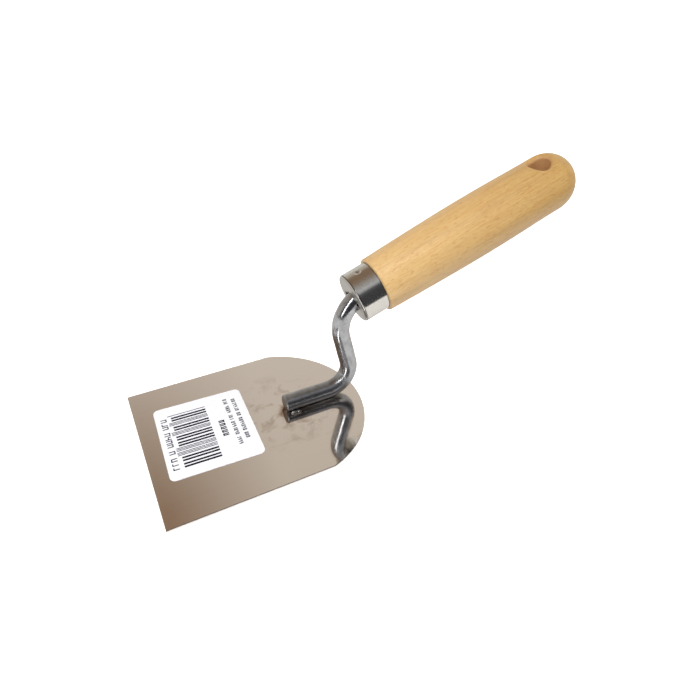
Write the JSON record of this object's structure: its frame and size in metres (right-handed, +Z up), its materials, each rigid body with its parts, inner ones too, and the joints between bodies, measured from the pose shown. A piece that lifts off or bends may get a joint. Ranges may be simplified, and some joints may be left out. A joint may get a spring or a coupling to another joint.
{
  "type": "round-heel plastering trowel",
  "caption": "Small flat plastering trowel: thin steel blade with square toe and rounded heel, S-bent round tang welded on top, turned wooden handle with steel ferrule and hanging hole.",
  "frame": {"origin": "centre of the blade's flat underside, the working face", "axes": "+X from the toe towards the handle, +Y across the blade, +Z up through the blade towards the handle"},
  "size_m": [0.2083, 0.08, 0.1016],
  "materials": {
    "blade_steel": "polished stainless",
    "tang_steel": "bright drawn, slightly dull",
    "weld_metal": "as welded",
    "ferrule_plating": "nickel plated",
    "beech": "satin lacquer",
    "label_paper": "semi-gloss label paper"
  },
  "bodies": {
    "root": {"blade": "blade_steel", "tang": "tang_steel", "weld_left": "weld_metal", "weld_right": "weld_metal", "ferrule": "ferrule_plating", "handle": "beech", "label": "label_paper"}
  },
  "joints": []
}
